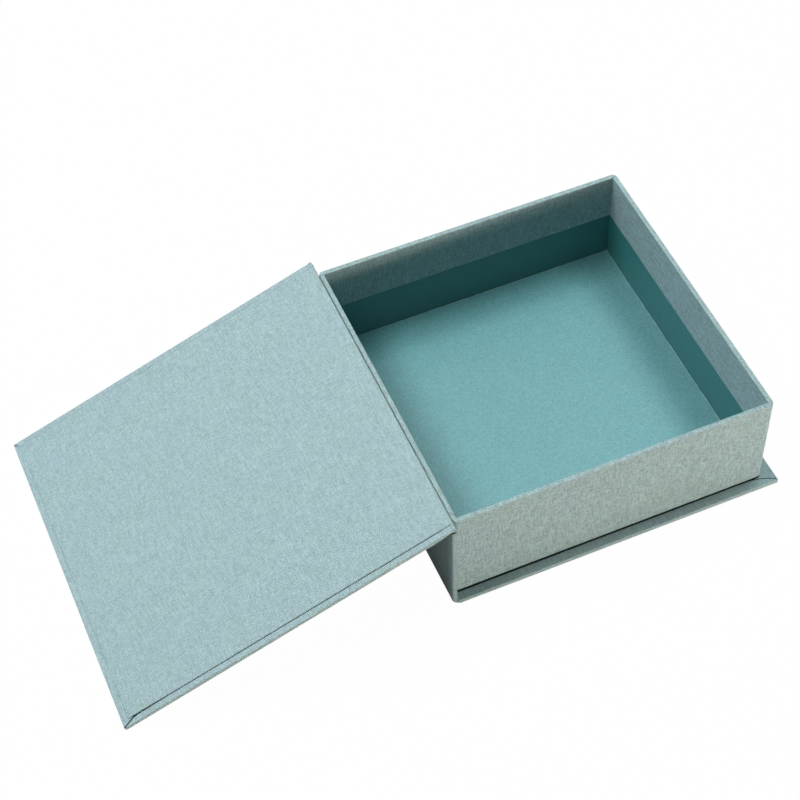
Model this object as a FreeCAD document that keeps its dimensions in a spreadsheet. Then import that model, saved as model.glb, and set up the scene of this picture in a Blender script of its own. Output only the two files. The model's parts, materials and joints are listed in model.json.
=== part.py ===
"""Cloth-covered keepsake box of the kind a bookbinder makes.

A square tray of mitred board walls is glued on the base of a three-piece case,
with a smaller card between the two that leaves a thin dark gap under its foot.
The case is a base board, a spine board standing up the left side of the tray and
a lid board, all covered in one book cloth. The cloth is turned in over every
board edge. Nothing but cloth hinges the lid: here it lies open, swung right
over, with its fore edge resting on the table.

Millimetres, +Z up, +X from the spine to the fore edge of the base, +Y to the
back. The origin is on the underside, at the middle of the closed case.
"""

import FreeCAD
import Part
import Sketcher

import collections
import math
import os
import re

# Driving sizes: alias, value in millimetres, meaning.
DRIVING = (
    ("inside_long", 200, "clear length inside the tray, along X"),
    ("inside_wide", 200, "clear width inside the tray, along Y"),
    ("tray_tall", 71.2, "tray from its foot to its rim"),
    ("tray_riser", 0.8, "card under the tray, which lifts its foot off the base"),
    ("riser_inset", 4, "outside of the tray to that card"),
    ("wall_board", 2.5, "board of the four tray walls"),
    ("floor_board", 1.7, "board of the tray floor"),
    ("floor_card", 0.6, "card of the lined floor panel"),
    ("case_board", 2.5, "board of the base, the spine and the lid"),
    ("cloth", 0.3, "book cloth with its glue"),
    ("lining_paper", 0.2, "paper that lines the tray"),
    ("liner", 0.4, "cloth-faced sheet inside the lid and the spine"),
    ("cloth_band", 34.5, "cloth turned down inside the tray, from the rim"),
    ("turn_in", 16, "cloth turned in over the edges of the boards"),
    ("mitre_slit", 0.4, "open joint between two mitred turn-ins"),
    ("fore_square", 8.5, "base beyond the tray at the fore edge"),
    ("side_square", 6.5, "base beyond the tray at the front and the back"),
    ("liner_margin", 4, "bare cloth left round the liner of the lid and the spine"),
    ("tray_corner", 3.2, "outer corners of the tray, seen from above"),
    ("tray_foot", 0.8, "lower edges of the tray"),
    ("rim_round", 0.5, "both edges of the tray's rim"),
    ("case_corner", 0.65, "corners of the case, seen from above"),
    ("case_round", 0.65, "edges of the case"),
    ("foot_round", 5, "bend of the cloth where the spine meets the base"),
    ("spine_gap", 0.4, "air between the spine's liner and the tray"),
    ("spine_drop", 0.4, "top of the spine below the rim"),
    ("closed_gap", 0.3, "air between the rim and the closed lid's liner"),
    ("hinge_inset", 1, "hinge line in from the lid's end"),
    ("hinge_gap", 0.15, "air between the lid and the cloth joint"),
    ("hinge_lap", 1.5, "cloth joint lapped over the lid's inner face"),
    ("hinge_round", 0.9, "bend of the cloth joint round the lid's end"),
    ("hinge_margin", 0.6, "ends of the cloth joint in from the case's ends"),
    ("floor_gap", 0.3, "air round the lined floor panel"),
)

# Sizes and places that follow from the driving sizes: alias, formula, meaning.
DERIVED = (
    ("case_thick", "case_board + 2 * cloth", "a covered case board"),
    ("wall", "wall_board + 2 * cloth", "a covered tray wall"),
    ("joint_cloth", "cloth + liner", "cloth and liner together in the joint"),
    ("tray_long", "inside_long + 2 * wall", "tray outside, along X"),
    ("tray_wide", "inside_wide + 2 * wall", "tray outside, along Y"),
    ("spine_stack", "spine_gap + liner + case_thick", "spine outside to tray"),
    ("case_long", "spine_stack + tray_long + fore_square", "case, along X"),
    ("case_wide", "tray_wide + 2 * side_square", "case, along Y"),
    ("case_left", "-case_long / 2", "outside of the spine"),
    ("case_right", "case_long / 2", "fore edge of the base"),
    ("case_front", "-case_wide / 2", "front edge of the case"),
    ("case_back", "case_wide / 2", "back edge of the case"),
    ("tray_left", "case_left + spine_stack", "tray's left outside"),
    ("tray_right", "tray_left + tray_long", "tray's right outside"),
    ("tray_front", "-tray_wide / 2", "tray's front outside"),
    ("tray_back", "tray_wide / 2", "tray's back outside"),
    ("tray_bottom", "case_thick + tray_riser", "foot of the tray"),
    ("rim", "tray_bottom + tray_tall", "height of the rim"),
    ("band_foot", "rim - cloth_band", "lower edge of the inside cloth"),
    ("tray_seat", "tray_bottom + cloth", "underside of the tray's boards"),
    ("floor_seat", "tray_seat + floor_board", "top of the floor board"),
    ("floor_panel", "floor_card + lining_paper", "lined floor panel"),
    ("board_corner", "tray_corner - cloth", "outer corners of the wall boards"),
    ("board_mitre", "board_corner / sqrt(2)", "the middle of that round from its centre"),
    ("board_foot", "tray_foot - cloth", "lower edges of the wall boards"),
    ("wall_inset", "cloth + wall_board", "outside to the wall boards' inside"),
    ("panel_inset", "wall_inset + lining_paper + floor_gap", "outside to panel"),
    ("mitre_step", "mitre_slit / sqrt(2)", "slit's width along an edge"),
    ("base_left", "case_left + foot_round", "where the base's flat part ends"),
    ("spine_board_left", "case_left + cloth", "spine board's outer face"),
    ("spine_board_right", "spine_board_left + case_board", "its inner face"),
    ("spine_in", "spine_board_right + cloth", "inside of the spine's turn-ins"),
    ("spine_face", "spine_in + liner", "face of the spine's liner"),
    ("spine_top", "rim - spine_drop", "top of the spine"),
    ("spine_board_top", "spine_top - cloth", "top of the spine board"),
    ("lid_reach", "case_long - hinge_inset", "hinge line to the lid's fore edge"),
    ("lid_half", "case_thick / 2", "hinge line to the lid's faces"),
    ("hinge_x", "case_left + hinge_inset", "hinge line from the origin"),
    ("hinge_z", "rim + closed_gap + liner + lid_half", "height of the hinge line"),
    ("edge_x", "lid_reach - case_round", "hinge line to the resting edge's centre"),
    ("edge_z", "lid_half - case_round", "the same across the lid"),
    ("edge_radius", "sqrt(edge_x ^ 2 + edge_z ^ 2)", "the same straight across"),
    ("edge_angle", "atan(edge_z / edge_x)", "turn between the two"),
    ("rest_turn", "asin((hinge_z - case_round) / edge_radius)", "its drop to the table"),
    ("rest_tilt", "rest_turn - edge_angle", "slope of the lid that rests on its edge"),
    ("tilt_cos", "cos(rest_tilt)", "share of the lid's length along X"),
    ("tilt_sin", "sin(rest_tilt)", "share of the lid's length along Z"),
)

UP = FreeCAD.Vector(0, 0, 1)
HINGE_AXIS = FreeCAD.Vector(0, -1, 0)
NEAR = 1e-6

# An Arc between two corners of a wire makes that side round.
Arc = collections.namedtuple("Arc", "centre_x centre_y radius")

document = FreeCAD.newDocument("keepsake_box")
sizes = document.addObject("Spreadsheet::Sheet", "sizes")
bodies = []


def fill_sheet():
    """Write the sizes into the sheet, each with its alias and meaning."""
    for row, (alias, content, meaning) in enumerate(DRIVING + DERIVED, start=1):
        text = f"={content}" if isinstance(content, str) else str(content)
        sizes.set(f"A{row}", alias)
        sizes.set(f"B{row}", text)
        sizes.setAlias(f"B{row}", alias)
        sizes.set(f"C{row}", meaning)
    document.recompute()


def value(expression):
    """The number that an expression of sizes gives now."""
    return float(sizes.evalExpression(expression))


def bound(expression):
    """The expression as other objects write it, each size named on the sheet."""
    return re.sub(r"[a-z][a-z_]*", lambda name: "sizes." + name.group(), expression)


def point(corner):
    """A pair of expressions as a point of a sketch."""
    return FreeCAD.Vector(value(corner[0]), value(corner[1]), 0)


# --- sketches -------------------------------------------------------------

def add_side(drawing, start, end, arc):
    """Draw one side of a wire; give its index and its start and end vertices."""
    first = point(start)
    last = point(end)
    if arc is None:
        return drawing.addGeometry(Part.LineSegment(first, last)), 1, 2
    centre = point((arc.centre_x, arc.centre_y))
    forward = (first - centre).cross(last - centre).z > 0
    if not forward:
        first, last = last, first
    start_angle = math.atan2(first.y - centre.y, first.x - centre.x)
    end_angle = math.atan2(last.y - centre.y, last.x - centre.x)
    if end_angle < start_angle:
        end_angle += 2 * math.pi
    circle = Part.Circle(centre, UP, value(arc.radius))
    side = drawing.addGeometry(Part.ArcOfCircle(circle, start_angle, end_angle))
    bind_constraint(drawing, Sketcher.Constraint("Radius", side, value(arc.radius)), arc.radius)
    if forward:
        return side, 1, 2
    return side, 2, 1


def bind_constraint(drawing, constraint, expression):
    """Add a constraint whose value follows an expression."""
    index = drawing.addConstraint(constraint)
    drawing.renameConstraint(index, f"size_{index}")
    drawing.setExpression(f"Constraints.size_{index}", bound(expression))


def draw_wire(drawing, wire):
    """Draw a closed wire of corners (x, y), with an Arc where a side is round."""
    corners = []
    arcs = {}
    for item in wire:
        if isinstance(item, Arc):
            arcs[len(corners) - 1] = item
        else:
            corners.append(item)
    sides = []
    for number, corner in enumerate(corners):
        following = corners[(number + 1) % len(corners)]
        sides.append(add_side(drawing, corner, following, arcs.get(number)))
    for number, (x, y) in enumerate(corners):
        side, start, _ = sides[number]
        previous, _, end = sides[number - 1]
        drawing.addConstraint(Sketcher.Constraint("Coincident", previous, end, side, start))
        across = Sketcher.Constraint("DistanceX", -1, 1, side, start, value(x))
        bind_constraint(drawing, across, x)
        along = Sketcher.Constraint("DistanceY", -1, 1, side, start, value(y))
        bind_constraint(drawing, along, y)


def sketch(body, name, plane, wires, height="0"):
    """Sketch closed wires on one of the body's own planes, or at a height over it."""
    drawing = body.newObject("Sketcher::SketchObject", name)
    planes = body.Origin.OriginFeatures
    support = next(feature for feature in planes if feature.Role == plane)
    drawing.AttachmentSupport = [(support, "")]
    drawing.MapMode = "FlatFace"
    drawing.setExpression("AttachmentOffset.Base.z", bound(height))
    for wire in wires:
        draw_wire(drawing, wire)
    return drawing


def rectangle(left, right, front, back):
    """The four corners of a rectangle."""
    return [(left, front), (right, front), (right, back), (left, back)]


def rounded_rectangle(left, right, front, back, radius):
    """A rectangle with its four corners rounded."""
    near_left = f"{left} + {radius}"
    near_right = f"{right} - {radius}"
    near_front = f"{front} + {radius}"
    near_back = f"{back} - {radius}"
    return [
        (near_left, front), (near_right, front), Arc(near_right, near_front, radius),
        (right, near_front), (right, near_back), Arc(near_right, near_back, radius),
        (near_right, back), (near_left, back), Arc(near_left, near_back, radius),
        (left, near_back), (left, near_front), Arc(near_left, near_front, radius),
    ]


def tray_outline(inset):
    """The tray's plan, drawn in by an inset from its outside."""
    return rectangle(
        f"tray_left + ({inset})", f"tray_right - ({inset})",
        f"tray_front + ({inset})", f"tray_back - ({inset})",
    )


# --- features -------------------------------------------------------------

def new_body(label):
    """A new body, listed for writing under its label."""
    body = document.addObject("PartDesign::Body", label)
    body.Label = label
    bodies.append(body)
    return body


def pad(body, drawing, length, midplane=False):
    """Pad a sketch along its normal, or half to each side."""
    feature = body.newObject("PartDesign::Pad", f"{drawing.Name}_pad")
    feature.Profile = drawing
    feature.setExpression("Length", bound(length))
    feature.Midplane = midplane
    drawing.Visibility = False
    document.recompute()
    return feature


def pocket(body, drawing, length, midplane=False):
    """Cut a sketch upwards, or half to each side, and see that it cuts."""
    before = body.Shape.Volume
    feature = body.newObject("PartDesign::Pocket", f"{drawing.Name}_pocket")
    feature.Profile = drawing
    feature.setExpression("Length", bound(length))
    feature.Midplane = midplane
    feature.Reversed = not midplane
    drawing.Visibility = False
    document.recompute()
    if body.Shape.Volume > before - NEAR:
        raise RuntimeError(f"{feature.Name} cuts nothing")
    return feature


def round_edges(body, name, radius, wanted):
    """Fillet the edges of the body's last feature that the test wants."""
    base = body.Tip
    edges = []
    for number, edge in enumerate(base.Shape.Edges, start=1):
        if wanted(edge.BoundBox):
            edges.append(f"Edge{number}")
    feature = body.newObject("PartDesign::Fillet", name)
    feature.Base = (base, edges)
    feature.setExpression("Radius", bound(radius))
    document.recompute()
    return feature


def is_upright(box):
    """An edge that stands straight up."""
    return box.XLength < NEAR and box.YLength < NEAR


def lies_at(box, height):
    """An edge that lies flat at a height."""
    return box.ZLength < NEAR and abs(box.ZMin - height) < NEAR


def plate(label, outline, bottom, thickness):
    """A flat sheet or board: an outline in plan, from a height up."""
    body = new_body(label)
    pad(body, sketch(body, f"{label}_plan", "XY_Plane", [outline], bottom), thickness)
    return body


def swing(body):
    """Place a piece of the lid, drawn flat about the hinge line, as it rests."""
    body.Placement = FreeCAD.Placement(
        FreeCAD.Vector(value("hinge_x"), 0, value("hinge_z")),
        FreeCAD.Rotation(HINGE_AXIS, value("rest_tilt")),
    )
    body.setExpression("Placement.Base.x", bound("hinge_x"))
    body.setExpression("Placement.Base.z", bound("hinge_z"))
    body.setExpression("Placement.Rotation.Angle", bound("rest_tilt"))


def swung(x, z):
    """Where a point beside the lid, drawn flat about the hinge line, comes to rest."""
    return (
        f"hinge_x + ({x}) * tilt_cos - ({z}) * tilt_sin",
        f"hinge_z + ({x}) * tilt_sin + ({z}) * tilt_cos",
    )


# --- tray -----------------------------------------------------------------

def make_wall(label, inside, outside, across):
    """One wall board, mitred to its neighbours; all four share the round corners.

    inside and outside are expressions of the inner and outer face. across says
    that the wall runs along Y. A wall's plan is symmetric about the tray's
    middle, so its ends mirror each other.
    """
    if across:
        low, high = "tray_front", "tray_back"
    else:
        low, high = "tray_left", "tray_right"
    towards = "+" if value(inside) > value(outside) else "-"
    centre = f"{outside} {towards} board_corner"
    mitre = f"{centre} {'-' if towards == '+' else '+'} board_mitre"
    low_centre = f"{low} + tray_corner"
    high_centre = f"{high} - tray_corner"
    wire = [
        (f"{low} + wall_inset", inside),
        (f"{high} - wall_inset", inside),
        (f"{high_centre} + board_mitre", mitre),
        Arc(high_centre, centre, "board_corner"),
        (high_centre, outside),
        (low_centre, outside),
        Arc(low_centre, centre, "board_corner"),
        (f"{low_centre} - board_mitre", mitre),
    ]
    if across:
        wire = [flipped(item) for item in wire]
    body = plate(label, wire, "tray_seat", "tray_tall - 2 * cloth")
    seat = value("tray_seat")
    face = value(outside)
    reach = value("board_corner - board_mitre")

    def is_foot(box):
        ends = (box.XMin, box.XMax) if across else (box.YMin, box.YMax)
        return lies_at(box, seat) and all(abs(end - face) < reach + NEAR for end in ends)

    round_edges(body, f"{label}_foot", "board_foot", is_foot)


def flipped(item):
    """A corner or an Arc with X and Y exchanged."""
    if isinstance(item, Arc):
        return Arc(item.centre_y, item.centre_x, item.radius)
    return item[1], item[0]


def make_walls():
    """The four wall boards."""
    make_wall("front_wall_board", "tray_front + wall_inset", "tray_front + cloth", False)
    make_wall("back_wall_board", "tray_back - wall_inset", "tray_back - cloth", False)
    make_wall("spine_wall_board", "tray_left + wall_inset", "tray_left + cloth", True)
    make_wall("fore_wall_board", "tray_right - wall_inset", "tray_right - cloth", True)


def make_tray_cloth():
    """The tray's cover: up the outside, over the rim, down inside, under the foot."""
    body = new_body("tray_cloth")
    pad(body, sketch(body, "cloth_block", "XY_Plane", [tray_outline("0")], "tray_bottom"), "tray_tall")
    round_edges(body, "cloth_corners", "tray_corner", is_upright)
    boards = rounded_rectangle(
        "tray_left + cloth", "tray_right - cloth",
        "tray_front + cloth", "tray_back - cloth", "board_corner",
    )
    under = sketch(body, "under_foot", "XY_Plane", [tray_outline("turn_in")], "tray_bottom")
    pocket(body, under, "cloth")
    inside = sketch(body, "below_band", "XY_Plane", [boards], "tray_seat")
    pocket(body, inside, "band_foot - tray_seat")
    seat = value("tray_seat")
    foot = value("tray_bottom")
    turned = value("tray_wide / 2 - turn_in")

    def is_outer(box):
        return max(-box.YMin, box.YMax) > turned + NEAR

    round_edges(
        body, "inside_foot", "board_foot", lambda box: lies_at(box, seat) and is_outer(box),
    )
    round_edges(
        body, "outside_foot", "tray_foot", lambda box: lies_at(box, foot) and is_outer(box),
    )
    clear = sketch(body, "clear_inside", "XY_Plane", [tray_outline("wall")], "band_foot")
    pocket(body, clear, "cloth_band")
    ring = [boards, tray_outline("wall_inset")]
    channel = sketch(body, "wall_channel", "XY_Plane", ring, "band_foot")
    pocket(body, channel, "cloth_band - cloth")
    rim = value("rim")
    round_edges(body, "rim_edges", "rim_round", lambda box: lies_at(box, rim))


def make_tray_floor():
    """The riser and underlay, the floor board in the walls, and the lined panel."""
    plate("tray_riser_card", tray_outline("riser_inset"), "case_thick", "tray_riser")
    plate("tray_underlay", tray_outline("turn_in"), "tray_bottom", "cloth")
    plate("tray_floor_board", tray_outline("wall_inset"), "tray_seat", "floor_board")
    card = tray_outline("panel_inset + lining_paper")
    plate("floor_card", card, "floor_seat", "floor_card")
    body = new_body("floor_lining")
    top = sketch(body, "panel", "XY_Plane", [tray_outline("panel_inset")], "floor_seat")
    pad(body, top, "floor_panel")
    pocket(body, sketch(body, "card_space", "XY_Plane", [card], "floor_seat"), "floor_card")


def make_wall_linings():
    """The paper below the band of cloth, butted to its edge, one piece on each wall."""
    tall = "band_foot - floor_seat"
    inner = "(wall_inset + lining_paper)"
    left = "tray_left + wall_inset"
    right = "tray_right - wall_inset"
    front = rectangle(left, right, "tray_front + wall_inset", f"tray_front + {inner}")
    back = rectangle(left, right, f"tray_back - {inner}", "tray_back - wall_inset")
    near = f"tray_front + {inner}"
    far = f"tray_back - {inner}"
    spine = rectangle(left, f"tray_left + {inner}", near, far)
    fore = rectangle(f"tray_right - {inner}", right, near, far)
    plate("front_wall_lining", front, "floor_seat", tall)
    plate("back_wall_lining", back, "floor_seat", tall)
    plate("spine_wall_lining", spine, "floor_seat", tall)
    plate("fore_wall_lining", fore, "floor_seat", tall)


# --- case -----------------------------------------------------------------

def mitre(fore, side, inward_x, inward_y):
    """The open slit between two turn-ins, from a corner of the board inwards."""
    return [
        (f"{fore} {inward_x} (cloth + mitre_step)", f"{side} {inward_y} cloth"),
        (f"{fore} {inward_x} cloth", f"{side} {inward_y} (cloth + mitre_step)"),
        (f"{fore} {inward_x} turn_in", f"{side} {inward_y} (turn_in + mitre_step)"),
        (f"{fore} {inward_x} (turn_in + mitre_step)", f"{side} {inward_y} turn_in"),
    ]


def make_cover(label, joint, fore, inward, bottom, board_end):
    """The cloth round a flat case board, its turn-ins on top, mitred at the fore edge.

    joint and fore are the two ends along X, inward the sign that leads from the
    fore edge to the joint, and board_end the end of the board at the joint.
    """
    body = new_body(label)
    block = rectangle(joint, fore, "case_front", "case_back")
    pad(body, sketch(body, f"{label}_block", "XY_Plane", [block], bottom), "case_thick")
    end = value(joint)
    closed = board_end != joint

    def is_corner(box):
        return is_upright(box) and (closed or abs(box.XMin - end) > NEAR)

    def is_outline(box):
        flat = box.ZLength < NEAR
        return flat and (closed or box.XLength > NEAR or abs(box.XMin - end) > NEAR)

    round_edges(body, f"{label}_corners", "case_corner", is_corner)
    round_edges(body, f"{label}_edges", "case_round", is_outline)
    board = rectangle(board_end, f"{fore} {inward} cloth", "case_front + cloth", "case_back - cloth")
    space = sketch(body, f"{label}_board", "XY_Plane", [board], f"{bottom} + cloth")
    pocket(body, space, "case_board")
    top = f"{bottom} + cloth + case_board"
    hole = rectangle(
        board_end, f"{fore} {inward} turn_in", "case_front + turn_in", "case_back - turn_in",
    )
    pocket(body, sketch(body, f"{label}_hole", "XY_Plane", [hole], top), "cloth")
    slits = [
        mitre(fore, "case_front", inward, "+"),
        mitre(fore, "case_back", inward, "-"),
    ]
    pocket(body, sketch(body, f"{label}_slits", "XY_Plane", slits, top), "cloth")
    return body


def make_base():
    """The base: its cloth, its board and the paper that levels it between turn-ins."""
    make_cover("base_cloth", "base_left", "case_right", "-", "0", "base_left")
    board = rectangle(
        "base_left", "case_right - cloth", "case_front + cloth", "case_back - cloth",
    )
    plate("base_board", board, "cloth", "case_board")
    infill = rectangle(
        "base_left", "case_right - turn_in", "case_front + turn_in", "case_back - turn_in",
    )
    plate("base_infill", infill, "case_board + cloth", "cloth")


def make_lid():
    """The lid, drawn flat about the hinge line with its inner face up, then swung."""
    end = "hinge_inset"
    fore = "-lid_reach"
    swing(make_cover("lid_cloth", end, fore, "+", "-lid_half", f"{end} - cloth"))
    board = rectangle(
        f"{fore} + cloth", f"{end} - cloth", "case_front + cloth", "case_back - cloth",
    )
    swing(plate("lid_board", board, "-lid_half + cloth", "case_board"))
    infill = rectangle(
        f"{fore} + turn_in", f"{end} - cloth", "case_front + turn_in", "case_back - turn_in",
    )
    swing(plate("lid_infill", infill, "lid_half - cloth", "cloth"))
    liner = rectangle(
        f"{fore} + liner_margin", f"{end} - hinge_lap - hinge_gap",
        "case_front + liner_margin", "case_back - liner_margin",
    )
    swing(plate("lid_liner", liner, "lid_half", "liner"))


def make_spine_cloth():
    """The spine's cover: up from the base round the foot, over the top, turned in."""
    body = new_body("spine_cloth")
    foot = Arc("base_left", "foot_round", "foot_round")
    outline = [
        ("base_left", "0"), foot, ("case_left", "foot_round"),
        ("case_left", "spine_top - case_round"),
        Arc("case_left + case_round", "spine_top - case_round", "case_round"),
        ("case_left + case_round", "spine_top"),
        ("spine_in", "spine_top"), ("spine_in", "case_thick"), ("base_left", "case_thick"),
    ]
    pad(body, sketch(body, "spine_block", "XZ_Plane", [outline]), "case_wide", midplane=True)
    half_wide = value("case_wide / 2")
    left = value("base_left")
    step = value("case_thick")

    def is_end_outline(box):
        at_end = box.YLength < NEAR and abs(abs(box.YMin) - half_wide) < NEAR
        beside_base = box.XMax > left - NEAR and box.ZMax < step + NEAR and box.XLength < NEAR
        ledge = box.XLength > NEAR and lies_at(box, step)
        return at_end and not beside_base and not ledge

    round_edges(body, "spine_ends", "case_round", is_end_outline)
    bend = Arc("base_left", "foot_round", "foot_round - cloth")
    cavity = [
        ("base_left", "cloth"), bend, ("spine_board_left", "foot_round"),
        ("spine_board_left", "spine_board_top"), ("spine_board_right", "spine_board_top"),
        ("spine_board_right", "case_thick - cloth"), ("base_left", "case_thick - cloth"),
    ]
    inside = sketch(body, "spine_board_space", "XZ_Plane", [cavity])
    pocket(body, inside, "case_wide - 2 * cloth", midplane=True)
    face = rectangle("spine_board_right", "spine_in", "case_thick", "spine_board_top")
    window = sketch(body, "between_turn_ins", "XZ_Plane", [face])
    pocket(body, window, "case_wide - 2 * turn_in", midplane=True)


def upright_sheet(label, left, right, bottom, top, width):
    """A board or sheet that stands in the spine, centred on the tray's middle."""
    body = new_body(label)
    outline = rectangle(left, right, bottom, top)
    pad(body, sketch(body, f"{label}_section", "XZ_Plane", [outline]), width, midplane=True)


def make_spine():
    """The spine that stands by the tray, with its liner towards the tray."""
    make_spine_cloth()
    upright_sheet(
        "spine_board", "spine_board_left", "spine_board_right",
        "foot_round", "spine_board_top", "case_wide - 2 * cloth",
    )
    upright_sheet(
        "spine_infill", "spine_board_right", "spine_in",
        "case_thick", "spine_board_top", "case_wide - 2 * turn_in",
    )
    upright_sheet(
        "spine_liner", "spine_in", "spine_face",
        "case_thick", "spine_top", "case_wide - 2 * liner_margin",
    )


def make_hinge_cloth():
    """The joint: cloth and liner glued together, from the spine up round the lid's end."""
    body = new_body("hinge_cloth")
    near = "hinge_inset + hinge_gap"
    far = "hinge_inset + hinge_gap + joint_cloth"
    top = "lid_half + liner"
    bend = swung(f"{far} - hinge_round", f"{top} - hinge_round")
    section = [
        ("spine_face - joint_cloth", "spine_top"),
        ("spine_face", "spine_top"),
        swung(far, "-lid_half"),
        swung(far, f"{top} - hinge_round"),
        Arc(bend[0], bend[1], "hinge_round"),
        swung(f"{far} - hinge_round", top),
        swung("hinge_inset - hinge_lap", top),
        swung("hinge_inset - hinge_lap", "lid_half + hinge_gap"),
        swung(near, "lid_half + hinge_gap"),
        swung(near, "-lid_half"),
    ]
    drawing = sketch(body, "joint_section", "XZ_Plane", [section])
    pad(body, drawing, "case_wide - 2 * hinge_margin", midplane=True)


# --- document -------------------------------------------------------------

def check_document():
    """Stop if an object has failed or a piece isn't one whole solid."""
    for item in document.Objects:
        if "Invalid" in item.State or "Error" in item.State:
            raise RuntimeError(f"{item.Name} has failed: {item.State}")
    for body in bodies:
        shape = body.Shape
        if shape.isNull() or not shape.isValid() or len(shape.Solids) != 1:
            raise RuntimeError(f"{body.Label} isn't one valid solid")


def write_parts():
    """Write each piece to its own file and print its size."""
    os.makedirs("parts", exist_ok=True)
    for body in bodies:
        body.Shape.exportStep(f"parts/{body.Label}.step")
        box = body.Shape.BoundBox
        print(
            f"{body.Label:20s} {body.Shape.Volume:12.2f} mm3 "
            f"{box.XLength:8.2f} {box.YLength:8.2f} {box.ZLength:8.2f}"
        )


fill_sheet()
make_base()
make_spine()
make_walls()
make_tray_cloth()
make_tray_floor()
make_wall_linings()
make_lid()
make_hinge_cloth()
document.recompute()
check_document()
write_parts()
print("rest_tilt", value("rest_tilt"), "rim", value("rim"), "hinge", value("hinge_x"), value("hinge_z"))
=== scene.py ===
# %% [markdown]
# # A keepsake box in book cloth
#
# The object is a binder's box: a square tray glued to the base of a case, and a lid that is
# hinged by the case's own cloth. The boards and covers come from CAD as a fixed frame. This
# lesson gives them their cloth, paper and board, and adds what only cloth and paste do: the bend
# of the joint, the pasted liner, the round ends of the spine, and the slits and laps, whose dark
# shade is painted as nearly black strips.

import json
import math

import bmesh
import bpy
from mathutils import Matrix, Vector


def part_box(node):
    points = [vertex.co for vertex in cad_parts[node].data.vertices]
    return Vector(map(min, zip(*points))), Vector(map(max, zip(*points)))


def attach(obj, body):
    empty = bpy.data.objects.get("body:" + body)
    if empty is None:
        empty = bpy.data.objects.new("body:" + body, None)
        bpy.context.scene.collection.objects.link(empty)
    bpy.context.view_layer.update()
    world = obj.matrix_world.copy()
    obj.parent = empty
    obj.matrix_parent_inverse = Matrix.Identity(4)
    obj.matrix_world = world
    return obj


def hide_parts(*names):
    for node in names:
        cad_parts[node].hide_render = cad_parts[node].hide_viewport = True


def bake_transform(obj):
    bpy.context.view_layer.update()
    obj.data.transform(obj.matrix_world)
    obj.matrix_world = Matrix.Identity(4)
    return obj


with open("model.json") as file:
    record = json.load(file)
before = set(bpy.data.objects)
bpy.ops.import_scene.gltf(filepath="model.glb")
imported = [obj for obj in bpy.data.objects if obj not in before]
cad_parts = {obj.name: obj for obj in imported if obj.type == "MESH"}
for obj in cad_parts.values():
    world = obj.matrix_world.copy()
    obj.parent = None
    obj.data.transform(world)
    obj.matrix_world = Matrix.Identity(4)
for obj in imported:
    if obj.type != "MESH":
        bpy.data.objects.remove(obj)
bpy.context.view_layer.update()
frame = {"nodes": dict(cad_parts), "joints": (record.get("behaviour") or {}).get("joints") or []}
scene = bpy.context.scene
nodes = frame["nodes"]

# %% [markdown]
# ## Measures
#
# Each piece takes its place from the box of the CAD part that carries it, so the lesson still
# fits if the boards change. The lid is drawn lying open on its fore edge, turned about the hinge
# line, so its own directions are worked out once from the joint. Lengths along a board are
# written in millimetres, and Blender works in metres.

# %% Measures of the boards and the lid
MM = 0.001
tray_low, tray_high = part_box("tray_cloth")
spine_low, spine_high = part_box("spine_cloth")
base_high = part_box("base_cloth")[1]
hinge = frame["joints"][0]
hinge_point = Vector(hinge["pos_m"])
lid_slope = math.radians(hinge["range_deg"][1] - 180.0)
lid_turn = Matrix.Rotation(-lid_slope, 4, "Y")
lid_back = lid_turn.inverted()


def on_lid(x, y, z):
    """A point given on the flat lid, in mm from the hinge line, as a point of the open lid."""
    return hinge_point + lid_turn @ Vector((x * MM, y * MM, z * MM))


def on_flat_lid(spot):
    """The other way: a point of the open lid, in mm from the hinge line on the flat lid."""
    return (lid_back @ (spot - hinge_point)) / MM


print("lid slope, degrees:", round(math.degrees(lid_slope), 3))

# %% [markdown]
# ## Camera
#
# A long lens from well above shows the box as a shop would: the open lid on the left, the inside
# of the tray on the right. From that far away the edges stay nearly parallel. The camera is also
# tipped by about a degree, so its turn is written as three angles.

# %% Camera
camera_data = bpy.data.cameras.new("camera")
camera_data.sensor_fit = "HORIZONTAL"
camera_data.sensor_width = 36.0
camera_data.lens = 91.32
camera_data.clip_start = 0.05
camera_data.clip_end = 50.0
camera = bpy.data.objects.new("camera", camera_data)
camera.location = (-0.36840, -0.69292, 1.01832)
camera.rotation_euler = [math.radians(a) for a in (37.8940, 1.3057, -23.2546)]
scene.collection.objects.link(camera)
scene.camera = camera
scene.view_settings.view_transform = "Standard"
print("camera at", tuple(camera.location))

# %% [markdown]
# ## Helpers for nodes
#
# A tree of nodes is easier to read when each step is one line: a node, its settings and what
# feeds it. These helpers add a node, set or link its inputs by name or number, and hand back the
# output. The same helpers serve the dome, the table, every finish and the Geometry Nodes.


# %% Node helpers
def put(tree, kind, inputs=(), result=0, **settings):
    """A node of the tree with its settings and inputs; an input is a value or another output."""
    node = tree.nodes.new(kind)
    for name, setting in settings.items():
        setattr(node, name, setting)
    for name, feed in dict(inputs).items():
        if isinstance(feed, bpy.types.NodeSocket):
            tree.links.new(feed, node.inputs[name])
        else:
            node.inputs[name].default_value = feed
    return node.outputs[result]


def maths(tree, kind, *feeds):
    """A Math node: kind is ADD, MULTIPLY and so on."""
    return put(tree, "ShaderNodeMath", dict(enumerate(feeds)), operation=kind)


def vectors(tree, kind, first, second=(0.0, 0.0, 0.0)):
    """A Vector Math node that puts out a vector, such as ADD or SUBTRACT."""
    return put(tree, "ShaderNodeVectorMath", {0: first, 1: second}, operation=kind)


def scaled(tree, vector, factor):
    """A vector or a colour times one number."""
    return put(tree, "ShaderNodeVectorMath", {0: vector, "Scale": factor}, operation="SCALE")


def axes(tree, vector):
    """The X, Y and Z of a vector, as outputs with those names."""
    split = tree.nodes.new("ShaderNodeSeparateXYZ")
    tree.links.new(vector, split.inputs[0])
    return split.outputs


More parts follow.
